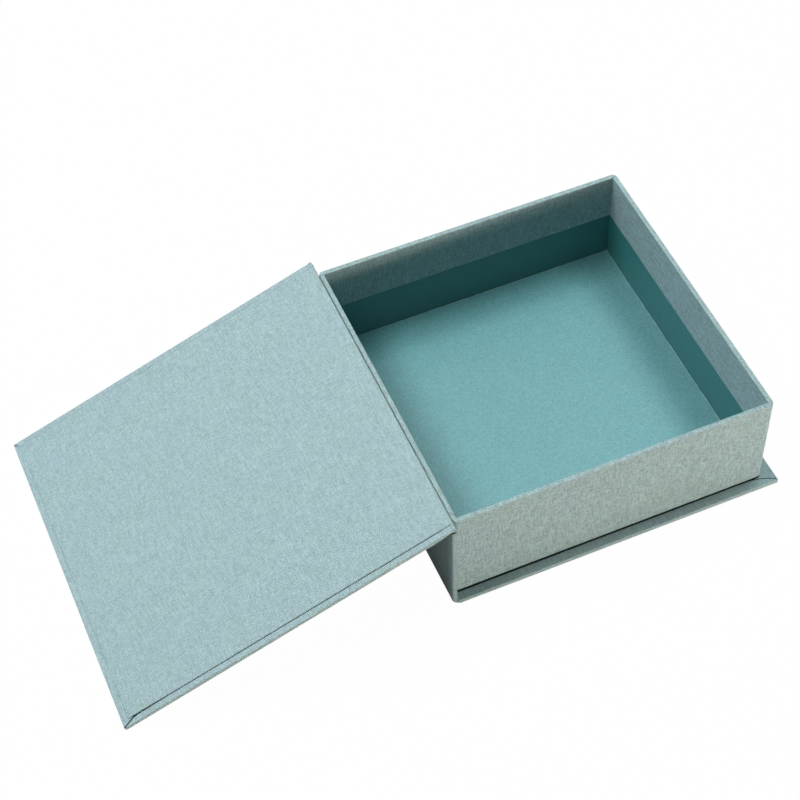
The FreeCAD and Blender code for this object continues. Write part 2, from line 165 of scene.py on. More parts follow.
def ramp(tree, amount, start, end, low=0.0, high=1.0, **settings):
    """A number that goes from low to high as amount goes from start to end, and no further."""
    return put(tree, "ShaderNodeMapRange", {
        "Value": amount, "From Min": start, "From Max": end, "To Min": low, "To Max": high},
        **settings)


def noise(tree, place, size, detail, result=0, **more):
    """A noise texture. size is its Scale; roughness and distortion may follow."""
    inputs = {"Vector": place, "Scale": size, "Detail": detail}
    inputs.update({name.capitalize(): value for name, value in more.items()})
    return put(tree, "ShaderNodeTexNoise", inputs, result=result)


def dyed(tree, share, first, second):
    """A colour that goes from the first to the second as share goes from 0 to 1."""
    return put(tree, "ShaderNodeMix", {"Factor": share, "A": first, "B": second},
               result=2, data_type="RGBA")


def new_finish(name):
    """An empty material, its tree, and the texture coordinates in it."""
    finish = bpy.data.materials.new(name)
    finish.use_nodes = True
    tree = finish.node_tree
    tree.nodes.clear()
    return finish, tree, tree.nodes.new("ShaderNodeTexCoord").outputs


def use_as_surface(tree, shader, kind="ShaderNodeOutputMaterial"):
    """The last step of a tree: the shader becomes the surface."""
    tree.links.new(shader, tree.nodes.new(kind).inputs["Surface"])


def ray_kinds(tree):
    """Two masks: one for what the camera sees, one for what gloss and glass see."""
    rays = tree.nodes.new("ShaderNodeLightPath").outputs
    mirrored = maths(tree, "MAXIMUM", rays["Is Glossy Ray"], rays["Is Transmission Ray"])
    return rays["Is Camera Ray"], mirrored


FLOAT, VECTOR, WHOLE = "NodeSocketFloat", "NodeSocketVector", "NodeSocketInt"
print("node helpers ready")

# %% [markdown]
# ## Light
#
# Cloth shows best in soft light with a direction. Two wide lamps hang high above and a little
# behind the box, a strong warm one on the left and a cooler one on the right, so the back and
# the left of the tray fall into shade. A blue lamp low on the left cools the sloping lid, and a
# faint one far behind puts a soft shine on the lining. The front wall faces none of these, so two
# low warm lamps in front light it, so low that they hardly reach the inside. Together the lamps
# light a card that lies flat at a little over one, at which a colour renders about as it is
# written. The dome adds next to nothing, and to the camera it is plain white.

# %% Dome
DOME_STRENGTH = 0.01
world = bpy.data.worlds.new("dome")
scene.world = world
world.use_nodes = True
tree = world.node_tree
tree.nodes.clear()
seen, mirrored = ray_kinds(tree)
lit = put(tree, "ShaderNodeBackground", {
    "Color": (0.96, 0.98, 1.0, 1.0), "Strength": DOME_STRENGTH})
white = put(tree, "ShaderNodeBackground", {"Color": (1.0, 1.0, 1.0, 1.0), "Strength": 1.0})
use_as_surface(tree, put(tree, "ShaderNodeMixShader", {
    "Fac": maths(tree, "MAXIMUM", seen, mirrored), 1: lit, 2: white}), "ShaderNodeOutputWorld")
print("dome strength", DOME_STRENGTH)

# %% Lamps
MIDDLE = (0.0, 0.0, 0.05)


def lamp(name, place, size, share, colour):
    """A flat lamp, wide and tall, aimed at the middle of the box. share is what it adds to a
    white card there that faces it."""
    data = bpy.data.lights.new(name, "AREA")
    data.shape = "RECTANGLE"
    data.size, data.size_y = size
    aim = Vector(MIDDLE) - Vector(place)
    data.energy = share * math.pi ** 2 * aim.length ** 2
    data.color = colour
    item = bpy.data.objects.new(name, data)
    item.location = place
    item.rotation_euler = aim.to_track_quat("-Z", "Y").to_euler()
    scene.collection.objects.link(item)
    print(name, "energy", round(data.energy, 2))


lamp("lamp_upper_left", (-1.00, 0.40, 2.00), (1.20, 0.60), 0.84, (1.0, 0.92, 0.89))
lamp("lamp_upper_right", (0.80, 0.40, 2.00), (1.20, 0.60), 0.50, (0.82, 1.0, 1.0))
lamp("lamp_side_left", (-1.90, 0.60, 0.70), (0.60, 1.60), 0.22, (0.30, 0.70, 1.0))
lamp("lamp_behind", (0.30, 1.40, 2.00), (2.40, 0.50), 0.05, (1.0, 1.0, 1.0))
lamp("lamp_low_front", (0.00, -2.60, 0.13), (1.60, 0.24), 0.30, (1.0, 0.85, 0.68))
lamp("lamp_low_right", (0.70, -0.82, 0.09), (0.40, 0.06), 0.52, (1.0, 0.86, 0.77))

# %% [markdown]
# ## Table
#
# A white sheet would need so much light that the box burns out. So the table is a pale matt
# surface that glows to the camera alone, up to nearly white. What is left of the real surface
# still carries the box's faint shadow. Gloss sees the glow too, but only far from the box: close
# by it sees the real, shaded table, or the sides of the box would shine from below.

# %% Table
HALF_ACROSS = 6.0
GLOW_SEEN = 0.985
GLOW_IN_GLOSS = 0.90
table_data = bpy.data.meshes.new("table")
table_data.from_pydata(
    [(x * HALF_ACROSS, y * HALF_ACROSS, 0.0) for x, y in ((-1, -1), (1, -1), (1, 1), (-1, 1))],
    [], [(0, 1, 2, 3)])
table = bpy.data.objects.new("table", table_data)
table.location.z = -0.0001
scene.collection.objects.link(table)
table_finish, tree, coordinates = new_finish("pale_table")
seen, mirrored = ray_kinds(tree)
from_box = put(tree, "ShaderNodeVectorMath", {0: coordinates["Object"], 1: (-0.10, 0.0, 0.0)},
               result="Value", operation="DISTANCE")
far_away = ramp(tree, from_box, 0.35, 1.10, 0.0, GLOW_IN_GLOSS)
share = maths(tree, "MAXIMUM", maths(tree, "MULTIPLY", seen, GLOW_SEEN),
              maths(tree, "MULTIPLY", mirrored, far_away))
pale = put(tree, "ShaderNodeBsdfDiffuse", {"Color": (0.72, 0.71, 0.70, 1.0)})
glow = put(tree, "ShaderNodeEmission", {"Strength": 1.0})
use_as_surface(tree, put(tree, "ShaderNodeMixShader", {"Fac": share, 1: pale, 2: glow}))
table_data.materials.append(table_finish)
print("table", 2 * HALF_ACROSS, "m across")

# %% [markdown]
# ## Threads
#
# Book cloth is a plain weave: each thread passes over one crossing thread and under the next, and
# no two threads are equally thick or equally dyed. The pattern could be an image, but an image
# repeats. Here one small group draws the threads from numbers. It finds which thread a point is
# on, lifts and sinks it in the over-and-under rhythm, and gives each thread its own streaks. The
# threads across have shorter streaks than those along, as in a cloth whose weft is the rougher
# yarn.


# %% Thread pattern
def new_group(name, inputs, outputs):
    """An empty shader group. An input is (name, kind, value or None), an output (name, kind)."""
    group = bpy.data.node_groups.new(name, "ShaderNodeTree")
    for title, kind, start in inputs:
        socket = group.interface.new_socket(title, in_out="INPUT", socket_type=kind)
        if start is not None:
            socket.default_value = start
    for title, kind in outputs:
        group.interface.new_socket(title, in_out="OUTPUT", socket_type=kind)
    entry = group.nodes.new("NodeGroupInput")
    leave = group.nodes.new("NodeGroupOutput")
    return group, entry.outputs, leave.inputs


THREADS_PER_METRE = 1150.0
STREAK = 0.18
LOWEST = 0.35
weave, into, leave = new_group(
    "plain_weave",
    [("Across", FLOAT, 0.0), ("Along", FLOAT, 0.0),
     ("Threads per metre", FLOAT, THREADS_PER_METRE), ("Streak", FLOAT, STREAK),
     ("Seed", FLOAT, 0.0)],
    [("Tint", FLOAT), ("Height", FLOAT)],
)


def thread(across, along, seed, streak, over):
    """One set of threads: its own shade along its length, and its round lift at this point.
    over is 0.5 or -0.5, so that one set is up where the other is down."""
    number = maths(weave, "FLOOR", across)
    spot = put(weave, "ShaderNodeCombineXYZ", {
        "X": maths(weave, "MULTIPLY", number, 3.71),
        "Y": maths(weave, "MULTIPLY", along, streak), "Z": seed})
    shade = noise(weave, spot, 1.0, 2.0, roughness=0.65)
    bulge = maths(weave, "SINE", maths(
        weave, "MULTIPLY", maths(weave, "FRACT", across), math.pi))
    rhythm = maths(weave, "COSINE", maths(weave, "MULTIPLY", maths(
        weave, "ADD", maths(weave, "SUBTRACT", along, 0.5), number), math.pi))
    up = ramp(weave, maths(weave, "MULTIPLY_ADD", rhythm, over, 0.5), 0.0, 1.0, LOWEST, 1.0)
    return shade, maths(weave, "MULTIPLY", bulge, up)


across = maths(weave, "MULTIPLY", into["Across"], into["Threads per metre"])
along = maths(weave, "MULTIPLY", into["Along"], into["Threads per metre"])
warp_shade, warp_lift = thread(
    across, along, into["Seed"], maths(weave, "MULTIPLY", into["Streak"], 0.6), 0.5)
weft_shade, weft_lift = thread(
    along, across, maths(weave, "ADD", into["Seed"], 9.3),
    maths(weave, "MULTIPLY", into["Streak"], 1.5), -0.5)
on_top = maths(weave, "GREATER_THAN", warp_lift, weft_lift)
shade = put(weave, "ShaderNodeMix", {"Factor": on_top, "A": weft_shade, "B": warp_shade})
# A pale thread is a full one, so it stands higher.
full = ramp(weave, shade, 0.0, 1.0, 0.70, 1.30)
lift = maths(weave, "MULTIPLY", maths(weave, "MAXIMUM", warp_lift, weft_lift), full)
weave.links.new(shade, leave["Tint"])
weave.links.new(lift, leave["Height"])
print("threads drawn by", len(weave.nodes), "nodes")

# %% [markdown]
# ## Cloth on every side of a board
#
# The same cloth covers the top, the sides and the rim of a board. A second group lays the threads
# flat on whichever way a surface faces: it picks two of the three directions by the way the
# surface looks. It also lets the threads wander a little, because they aren't ruled lines, and
# adds soft patches where the cloth took more or less of the dye.

# %% Cloth laid on every side
WANDER = 0.0016
laid, into, leave = new_group(
    "laid_cloth",
    [("Place", VECTOR, None), ("Facing", VECTOR, None),
     ("Threads per metre", FLOAT, THREADS_PER_METRE), ("Streak", FLOAT, STREAK),
     ("Patches", FLOAT, 0.10)],
    [("Tint", FLOAT), ("Height", FLOAT), ("Patch", FLOAT)],
)
HALF = (0.5, 0.5, 0.5)
wander = noise(laid, into["Place"], 55.0, 1.0, result="Color")
wander = scaled(laid, vectors(laid, "SUBTRACT", wander, HALF), WANDER)
point = axes(laid, vectors(laid, "ADD", into["Place"], wander))
facing = axes(laid, vectors(laid, "ABSOLUTE", into["Facing"]))
up = maths(laid, "GREATER_THAN", facing["Z"], maths(laid, "MAXIMUM", facing["X"], facing["Y"]))
side = maths(laid, "GREATER_THAN", facing["X"], facing["Y"])


def pick(flat, to_x, to_y):
    """One direction of the threads: on flat faces, on faces towards X and on those towards Y."""
    upright = put(laid, "ShaderNodeMix", {"Factor": side, "A": point[to_y], "B": point[to_x]})
    return put(laid, "ShaderNodeMix", {"Factor": up, "A": upright, "B": point[flat]})


threads = laid.nodes.new("ShaderNodeGroup")
threads.node_tree = weave
side_seed = maths(laid, "ADD", up, maths(laid, "MULTIPLY", side, 2.7))
for title, feed in (("Across", pick("X", "Z", "X")), ("Along", pick("Y", "Y", "Z")),
                    ("Threads per metre", into["Threads per metre"]),
                    ("Streak", into["Streak"]), ("Seed", side_seed)):
    laid.links.new(feed, threads.inputs[title])
patch = noise(laid, into["Place"], 38.0, 3.0, roughness=0.6)
patch = maths(laid, "MULTIPLY", maths(laid, "SUBTRACT", patch, 0.5), into["Patches"])
laid.links.new(threads.outputs["Tint"], leave["Tint"])
laid.links.new(threads.outputs["Height"], leave["Height"])
laid.links.new(patch, leave["Patch"])
print("cloth laid by", len(laid.nodes), "nodes")

# %% [markdown]
# ## Book cloth
#
# The cloth is a pale duck-egg blue, dyed in the yarn, so some threads are greyer and some bluer,
# and the bath wasn't quite even either. It is matt with a little sheen on the raised threads. One
# function makes the material, because the box needs it four times: square to the table, turned
# along the sloping lid, on the tray, whose cloth shows more contrast between its threads, and on
# the spine. The tray's cloth is a little darker over its last millimetre up to the rim: painted
# shade. On the spine the middle is darker and the last 9 mm lighter, painted shade and painted
# light, and it is darker again at the very end, where the cloth turns in: painted shade.


# %% Painted shade and light along an edge
def painted_rim_shade(tree, place, height):
    """Painted shade: a little darker over the last millimetre below the rim."""
    return ramp(tree, place["Z"], height - 0.0012, height - 0.0002, 1.0, 0.97)


def painted_spine_light_and_shade(tree, place, reach):
    """Painted shade in the middle, painted light over the last 9 mm, painted shade at the very
    end.
    """
    out_along = maths(tree, "ABSOLUTE", place["Y"])
    painted_end_light = ramp(tree, out_along, reach - 0.009, reach - 0.001, 0.84, 1.22,
                 interpolation_type="SMOOTHSTEP")
    painted_end_shade = ramp(tree, out_along, reach - 0.0016, reach - 0.0003, 1.0, 0.72)
    return maths(tree, "MULTIPLY", painted_end_light, painted_end_shade)


print("edge shades ready")


# %% Book cloth
def principled(tree, tone, roughness, bump=None, **settings):
    """The Principled shader with its colour, roughness and bump, and plain settings by name."""
    shader = tree.nodes.new("ShaderNodeBsdfPrincipled")
    tree.links.new(tone, shader.inputs["Base Color"])
    if isinstance(roughness, float):
        shader.inputs["Roughness"].default_value = roughness
    else:
        tree.links.new(roughness, shader.inputs["Roughness"])
    if bump:
        tree.links.new(bump, shader.inputs["Normal"])
    for name, value in settings.items():
        shader.inputs[name.replace("_", " ")].default_value = value
    return shader.outputs[0]


THREAD_RELIEF = 0.00026
CLOTH_ROUGHNESS = 0.58
BLUER = (1.0, 0.994, 1.020, 1.0)
GREENER = (1.0, 1.006, 0.980, 1.0)


def book_cloth(name, light, dark, turned=False, edge=None):
    """Book cloth as a material. turned lays the threads along the open lid. edge is a rule for
    painted shade and light along an edge and the measure it needs."""
    finish, tree, coordinates = new_finish(name)
    turn = (0.0, lid_slope if turned else 0.0, 0.0)
    place, facing = (
        put(tree, "ShaderNodeMapping", {"Vector": coordinates[kind], "Rotation": turn},
            vector_type="POINT")
        for kind in ("Object", "Normal"))
    cloth = tree.nodes.new("ShaderNodeGroup")
    cloth.node_tree = laid
    tree.links.new(place, cloth.inputs["Place"])
    tree.links.new(facing, cloth.inputs["Facing"])
    tint, height, patch = (cloth.outputs[title] for title in ("Tint", "Height", "Patch"))
    shade = maths(tree, "ADD", ramp(tree, tint, 0.36, 0.64), patch)
    # Painted shade and light of the weave: sunk parts of the threads darker, raised parts lighter.
    sunk = ramp(tree, height, 0.1, 0.8, 0.80, 1.10)
    tone = scaled(tree, dyed(tree, shade, dark, light), sunk)
    bath = ramp(tree, noise(tree, place, 45.0, 2.0), 0.38, 0.62)
    tone = vectors(tree, "MULTIPLY", tone, dyed(tree, bath, GREENER, BLUER))
    if edge:
        rule, measure = edge
        tone = scaled(tree, tone, rule(tree, axes(tree, coordinates["Object"]), measure))
    bump = put(tree, "ShaderNodeBump", {
        "Strength": 0.80, "Distance": THREAD_RELIEF, "Height": height})
    roughness = ramp(tree, height, 0.0, 1.0, CLOTH_ROUGHNESS + 0.06, CLOTH_ROUGHNESS - 0.06)
    use_as_surface(tree, principled(
        tree, tone, roughness, bump,
        Specular_IOR_Level=0.8, Sheen_Weight=0.04, Sheen_Roughness=0.5))
    return finish


pale_thread = (0.316, 0.456, 0.474, 1.0)
deep_thread = (0.206, 0.298, 0.312, 1.0)
cloth_square = book_cloth("book_cloth_square", pale_thread, deep_thread)
cloth_sloped = book_cloth("book_cloth_on_lid", pale_thread, deep_thread, turned=True)
# The tray's cloth: painted shade over the last millimetre up to its rim.
cloth_tray = book_cloth("book_cloth_on_tray", (0.344, 0.492, 0.508, 1.0),
                        (0.180, 0.262, 0.275, 1.0), edge=(painted_rim_shade, tray_high[2]))
# The spine's cloth: painted shade in its middle and painted light near its ends.
cloth_spine = book_cloth("book_cloth_on_spine", pale_thread, deep_thread,
                         edge=(painted_spine_light_and_shade, spine_high[1]))
print("book cloth made four ways")

# %% [markdown]
# ## Lining paper, plain paper and board
#
# The walls of the tray are lined with teal paper whose colour is set much darker than the floor's
# paler, greener one, as painted shade of the tray's inside.
# Paper is a felt of short fibres, so its colour is nearly even, with a fine fleck, a faint
# cloudiness and a tooth that only shows in low light. The plain paper that fills the covers and
# the grey board are the same felt, coarser and in their own colours. One group draws the felt,
# and each sheet gives it its own colours and tooth.

# %% Felted fibres
felt, into, leave = new_group(
    "felted_fibres",
    [("Place", VECTOR, None), ("Fineness", FLOAT, 1.0)],
    [("Cloud", FLOAT), ("Fibre", FLOAT), ("Tooth", FLOAT)],
)
fine = maths(felt, "MULTIPLY", into["Fineness"], 800.0)
cloud = noise(felt, into["Place"], 90.0, 3.0, roughness=0.55)
fibre = noise(felt, into["Place"], fine, 2.0, distortion=1.4)
tooth = noise(felt, into["Place"], maths(felt, "MULTIPLY", fine, 0.45), 3.0)
for title, feed in (("Cloud", cloud), ("Fibre", fibre), ("Tooth", tooth)):
    felt.links.new(feed, leave[title])
print("felt drawn by", len(felt.nodes), "nodes")

# %% [markdown]
# ## Painted highlight on the floor panel's edges
#
# The floor is a separate panel of lined card, pressed in last. Its cut edges catch the light, and
# that light is painted: the paper turns paler in places, within a millimetre of the edge. The mask
# is the distance to the nearest side of the panel's box, broken up by noise. A Pointiness mask
# would find the edges too, but it follows the mesh, and a flat panel has too few points.

# %% Painted highlight along the edges of a panel
edge_highlight, into, leave = new_group(
    "painted_edge_highlight",
    [("Place", VECTOR, None), ("Low", VECTOR, None), ("High", VECTOR, None),
     ("Width", FLOAT, 0.0005)],
    [("Mask", FLOAT)],
)
# Painted highlight: a mask that is one at the panel's edges and fades within Width, broken by
# noise.
from_low = axes(edge_highlight, vectors(edge_highlight, "SUBTRACT", into["Place"], into["Low"]))
from_high = axes(edge_highlight, vectors(edge_highlight, "SUBTRACT", into["High"], into["Place"]))
nearest = maths(edge_highlight, "MINIMUM", *(
    maths(edge_highlight, "MINIMUM", from_low[way], from_high[way]) for way in ("X", "Y")))
near = ramp(edge_highlight, nearest, 0.0, into["Width"], 1.0, 0.0, interpolation_type="SMOOTHSTEP")
broken_up = ramp(edge_highlight, noise(edge_highlight, into["Place"], 160.0, 3.0), 0.35, 0.60)
edge_highlight.links.new(maths(edge_highlight, "MULTIPLY", near, broken_up), leave["Mask"])
print("painted_highlight drawn by", len(edge_highlight.nodes), "nodes")


# %% Paper and board
def paper(name, light, dark, fineness, relief, rough, gloss=0.3, edges=None, highlight_tone=None):
    """A sheet of paper or board: its two shades, how fine its felt is and how deep its tooth.
    edges is the box of a panel whose edges get a painted highlight, in the colour given after it."""
    finish, tree, coordinates = new_finish(name)
    place = coordinates["Object"]
    sheet = tree.nodes.new("ShaderNodeGroup")
    sheet.node_tree = felt
    sheet.inputs["Fineness"].default_value = fineness
    tree.links.new(place, sheet.inputs["Place"])
    cloud, fibre, tooth = (sheet.outputs[title] for title in ("Cloud", "Fibre", "Tooth"))
    mixed = maths(tree, "ADD", maths(tree, "MULTIPLY", cloud, 0.12),
                  maths(tree, "MULTIPLY", fibre, 0.88))
    tone = dyed(tree, ramp(tree, mixed, 0.36, 0.64), dark, light)
    # Painted highlight along the panel's edges.
    if edges:
        highlight_group = tree.nodes.new("ShaderNodeGroup")
        highlight_group.node_tree = edge_highlight
        tree.links.new(place, highlight_group.inputs["Place"])
        for title, value in (("Low", edges[0]), ("High", edges[1]), ("Width", 0.0008)):
            highlight_group.inputs[title].default_value = value
        tone = dyed(tree, highlight_group.outputs["Mask"], tone, highlight_tone)
    bump = put(tree, "ShaderNodeBump", {"Strength": 0.35, "Distance": relief, "Height": tooth})
    roughness = ramp(tree, tooth, 0.0, 1.0, rough - 0.06, rough + 0.06)
    use_as_surface(tree, principled(tree, tone, roughness, bump, Specular_IOR_Level=gloss))
    return finish


# The walls' lining: its dark colour is painted shade of the tray's inside.
lining = paper("teal_lining_painted_shade", (0.024, 0.182, 0.184, 1.0), (0.015, 0.132, 0.134, 1.0),
               1.0, 0.00005, 0.52, gloss=0.9)
# The floor paper is painted paler along the panel's edges, a painted highlight.
floor_paper = paper("teal_floor_paper", (0.100, 0.306, 0.330, 1.0), (0.058, 0.214, 0.235, 1.0),
                    1.0, 0.00005, 0.52, gloss=0.9,
                    edges=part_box("floor_lining"), highlight_tone=(0.30, 0.52, 0.53, 1.0))
plain = paper("plain_filling_paper", (0.80, 0.78, 0.73, 1.0), (0.70, 0.68, 0.62, 1.0),
              0.8, 0.00004, 0.85)
board = paper("grey_binders_board", (0.46, 0.44, 0.41, 1.0), (0.33, 0.31, 0.28, 1.0),
              0.5, 0.00010, 0.92)
print("paper and board made")

# %% [markdown]
# ## Dressing the boards and covers
#
# Each CAD part already says what it is made of, so its finish can be looked up instead of being
# given by hand. Only three cases differ: the lid's cloth lies along the slope, and the floor and
# the tray's cover have a finish of their own.

# %% Dress the CAD parts
finish_of = {"book_cloth": cloth_square, "lining_paper": lining, "plain_paper": plain,
             "board": board}
own_finish = {"floor_lining": floor_paper, "tray_cloth": cloth_tray}
for name, node in nodes.items():
    look = own_finish.get(name) or finish_of[node.data.materials[0].name.split(".")[0]]
    if name.startswith("lid_") and look is cloth_square:
        look = cloth_sloped
    node.data.materials.clear()
    node.data.materials.append(look)
print("dressed", len(nodes), "parts")

# %% [markdown]
# ## Geometry Nodes for what runs along the hinge
#
# The joint and the liner of the lid have one thing in common: seen from the front, each is a
# closed outline that runs the whole width of the box. Such a piece could be extruded by hand, but
# Geometry Nodes keep it as a rule. A grid takes its columns from the points of the outline and its
# rows from steps along the hinge line, and a fine noise gives it the small waves of hand-glued
# cloth. The same few named numbers make it longer, finer or rougher.


# %% Geometry Nodes helpers
def geometry_tree(name, inputs):
    """A Geometry Nodes tree with a geometry input and named sizes."""
    tree = bpy.data.node_groups.new(name, "GeometryNodeTree")
    tree.interface.new_socket("Geometry", in_out="INPUT", socket_type="NodeSocketGeometry")
    for title, kind, start in inputs:
        socket = tree.interface.new_socket(title, in_out="INPUT", socket_type=kind)
        if start is not None:
            socket.default_value = start
    tree.interface.new_socket("Geometry", in_out="OUTPUT", socket_type="NodeSocketGeometry")
    return tree, tree.nodes.new("NodeGroupInput").outputs, tree.nodes.new("NodeGroupOutput").inputs


def baked(name, source, tree, **sizes):
    """The tree run on a source mesh with its named sizes, as a plain mesh object."""
    maker = bpy.data.objects.new(name + "_maker", source)
    scene.collection.objects.link(maker)
    modifier = maker.modifiers.new(name, "NODES")
    modifier.node_group = tree
    for socket in tree.interface.items_tree:
        if socket.item_type == "SOCKET" and socket.in_out == "INPUT" and socket.name in sizes:
            modifier[socket.identifier] = sizes[socket.name]
    graph = bpy.context.evaluated_depsgraph_get()
    mesh = bpy.data.meshes.new_from_object(maker.evaluated_get(graph), depsgraph=graph)
    mesh.name = name
    bpy.data.objects.remove(maker)
    piece = bpy.data.objects.new(name, mesh)
    scene.collection.objects.link(piece)
    return piece


def closed(piece):
    """Merges doubles, closes the open ends and turns every face outwards."""
    work = bmesh.new()
    work.from_mesh(piece.data)
    bmesh.ops.remove_doubles(work, verts=work.verts, dist=0.000002)
    edges = [e for e in work.edges if e.is_boundary]
    if edges:
        bmesh.ops.holes_fill(work, edges=edges, sides=0)
    bmesh.ops.recalc_face_normals(work, faces=work.faces)
    for face in work.faces:
        face.smooth = len(face.verts) == 4
    work.to_mesh(piece.data)
    work.free()
    return piece


print("Geometry Nodes helpers ready")

# %% Carry an outline along the hinge line
carry, into, leave = geometry_tree("carry_along_hinge", [
    ("Points", WHOLE, 10), ("Length", FLOAT, 0.2), ("Steps", WHOLE, 160),
    ("Waves", FLOAT, 0.00005), ("Seed", FLOAT, 3.0), ("Material", "NodeSocketMaterial", None)])
sheet = put(carry, "GeometryNodeMeshGrid", {
    "Size X": 1.0, "Size Y": 1.0, "Vertices Y": into["Steps"],
    "Vertices X": maths(carry, "ADD", into["Points"], 1.0)})
column = maths(carry, "FLOOR", maths(
    carry, "DIVIDE", put(carry, "GeometryNodeInputIndex"), into["Steps"]))
place = put(carry, "GeometryNodeInputPosition")
corner = put(carry, "GeometryNodeSampleIndex", {
    "Geometry": into["Geometry"], "Value": place,
    "Index": maths(carry, "MODULO", column, into["Points"])}, data_type="FLOAT_VECTOR")
shift = put(carry, "ShaderNodeCombineXYZ", {
    "X": 0.0, "Y": maths(carry, "MULTIPLY", axes(carry, place)["Y"], into["Length"]), "Z": 0.0})
spread = vectors(carry, "ADD", corner, shift)
wave = put(carry, "ShaderNodeTexNoise", {
    "Vector": spread, "W": into["Seed"], "Scale": 260.0, "Detail": 1.0},
    result="Color", noise_dimensions="4D")
wave = scaled(carry, vectors(carry, "SUBTRACT", wave, HALF), into["Waves"])
moved = put(carry, "GeometryNodeSetPosition", {
    "Geometry": sheet, "Position": spread, "Offset": wave})
whole = put(carry, "GeometryNodeRealizeInstances", {"Geometry": moved})
carry.links.new(put(carry, "GeometryNodeSetMaterial", {
    "Geometry": whole, "Material": into["Material"]}), leave["Geometry"])


def carried(name, outline, length, steps, waves, finish):
    """A closed piece: an outline of world points with Y zero, run along the hinge line."""
    ring = bpy.data.meshes.new(name + "_outline")
    ring.from_pydata(outline, [(i, (i + 1) % len(outline)) for i in range(len(outline))], [])
    return closed(baked(name, ring, carry, Points=len(outline), Length=length, Steps=steps,
                        Waves=waves, Material=finish))


print("carrying tree:", len(carry.nodes), "nodes")

# %% [markdown]
# ## The cloth joint
#
# The lid has no metal hinge. The case cloth bends between the top of the spine and the end of the
# lid, and the liner is pasted over it in one sheet, from the spine over the bend and on over the
# lid. The case cloth is drawn as one fixed piece, as it lies with the lid open, from an outline
# seen from the front, which is carried across the box.


# %% Outlines seen from the front
def lid_measure(name):
    """The box of a lid part on the flat lid, in mm from the hinge line."""
    spots = [on_flat_lid(v.co) for v in nodes[name].data.vertices]
    return ([min(s[i] for s in spots) for i in range(3)],
            [max(s[i] for s in spots) for i in range(3)])


def from_front(x, z):
    """A point on the flat lid as the outline's point: only its X and Z."""
    there = on_lid(x, 0, z)
    return (there.x, 0.0, there.z)


lid_low, lid_high = lid_measure("lid_cloth")
liner_low, liner_high = lid_measure("lid_liner")
joint_low, joint_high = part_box("hinge_cloth")
spine_liner_low, spine_liner_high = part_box("spine_liner")
# The lid's face, the liner's top and the lid's end, in mm on the flat lid.
FACE = lid_high[2]
TOP = liner_high[2]
END = lid_high[0]
# The bend: its radius, the liner's thickness in it, how far it stands out, and its middle.
BEND = 0.9
SKIN = 0.14
STANDS_OUT = 0.85
BEND_X = END + STANDS_OUT - BEND
BEND_Z = TOP - BEND


def roll(radius):
    """Points of the bend round the lid's end, over a quarter turn up to the lid's own length."""
    return [from_front(BEND_X + radius * math.cos(a), BEND_Z + radius * math.sin(a))
            for a in (math.radians(degrees) for degrees in range(0, 91, 10))]


print("lid face", round(FACE, 3), "liner face", round(TOP, 3), "lid end", round(END, 3))

# %% The case cloth in the joint
FOOT_WIDE = 0.0007
LONGER = 0.0010
OFF_LID = 0.15
inner = BEND - SKIN - 0.02
liner_face, spine_top = spine_liner_high[0], spine_high[2]
# The foot on the spine, up the outside and round the bend inside the liner's roll.
outline = [(liner_face - FOOT_WIDE, 0.0, spine_top), (liner_face, 0.0, spine_top)]
outline += [from_front(BEND_X + BEND, -FACE), from_front(BEND_X + BEND, -0.35),
            from_front(BEND_X + inner, -0.05)]
outline += roll(inner)
# A short lap on the lid's face, and back down along the lid's end.
outline += [from_front(END - 0.9, FACE + 0.06), from_front(END - 1.3, FACE + 0.012),
            from_front(END - 0.6, FACE - 0.05)]
outline += [from_front(END + OFF_LID, FACE - 0.5), from_front(END + OFF_LID, -FACE)]
joint_cloth = carried("joint_cloth", outline, joint_high[1] - joint_low[1] + LONGER,
                      steps=160, waves=0.00005, finish=cloth_sloped)
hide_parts("hinge_cloth")
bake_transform(joint_cloth)
print("joint cloth:", len(joint_cloth.data.polygons), "faces")

# %% [markdown]
# ## The liner of the lid
#
# The liner is cut from the same cloth, four millimetres short of the lid's edges, so a thin step
# runs round it. It has its roll at the lid's end and turns with the lid, with the case cloth
# tucked up inside the roll. So there is no seam along the bend, only the ends of the case cloth
# beyond the liner. The fore edge is a soft ramp, because a cut edge is pressed down hardest.

# %% The liner of the lid
RAMP = 1.5
BEFORE_BEND = 6.0
fore = liner_low[0]
# Fine steps near the fore edge, where a corner will be lifted, and coarse ones beyond.
along_lid = [fore + 1.0 + 1.5 * k for k in range(1, 24)]
along_lid += [along_lid[-1] + 8.0 * k for k in range(1, 22)]
along_lid = [x for x in along_lid if x < -BEFORE_BEND]
outline = [from_front(fore, FACE), from_front(fore + 0.05, FACE + 0.10),
           from_front(fore + 0.7, FACE + 0.28), from_front(fore + RAMP, TOP)]
outline += [from_front(x, TOP) for x in along_lid]
outline += list(reversed(roll(BEND)))
outline += [from_front(BEND_X + BEND, -0.15), from_front(BEND_X + BEND - SKIN, -0.15)]
outline += roll(BEND - SKIN)
outline += [from_front(-3.2, TOP - SKIN), from_front(-6.2, FACE + 0.04)]
outline += [from_front(x, FACE) for x in reversed(along_lid)]
outline += [from_front(fore + RAMP, FACE)]
lid_lining = carried("lid_liner_sheet", outline, (liner_high[1] - liner_low[1]) * MM,
                     steps=211, waves=0.00004, finish=cloth_sloped)
print("liner:", len(lid_lining.data.polygons), "faces,", len(along_lid), "steps on the lid")

# %% [markdown]
# ## A corner of the liner that has let go
#
# Paste dries first near the corners. Beside the front corner of the fore edge the liner has
# lifted by half a millimetre, and a thin dark gap runs from there along its front edge. Its shade
# is painted, as a nearly black strip with the lid's slits. The lift is a small rule on the
# finished mesh: it is highest four millimetres in from the fore edge, and fades quickly towards
# the corner and the middle and slowly along the front edge.

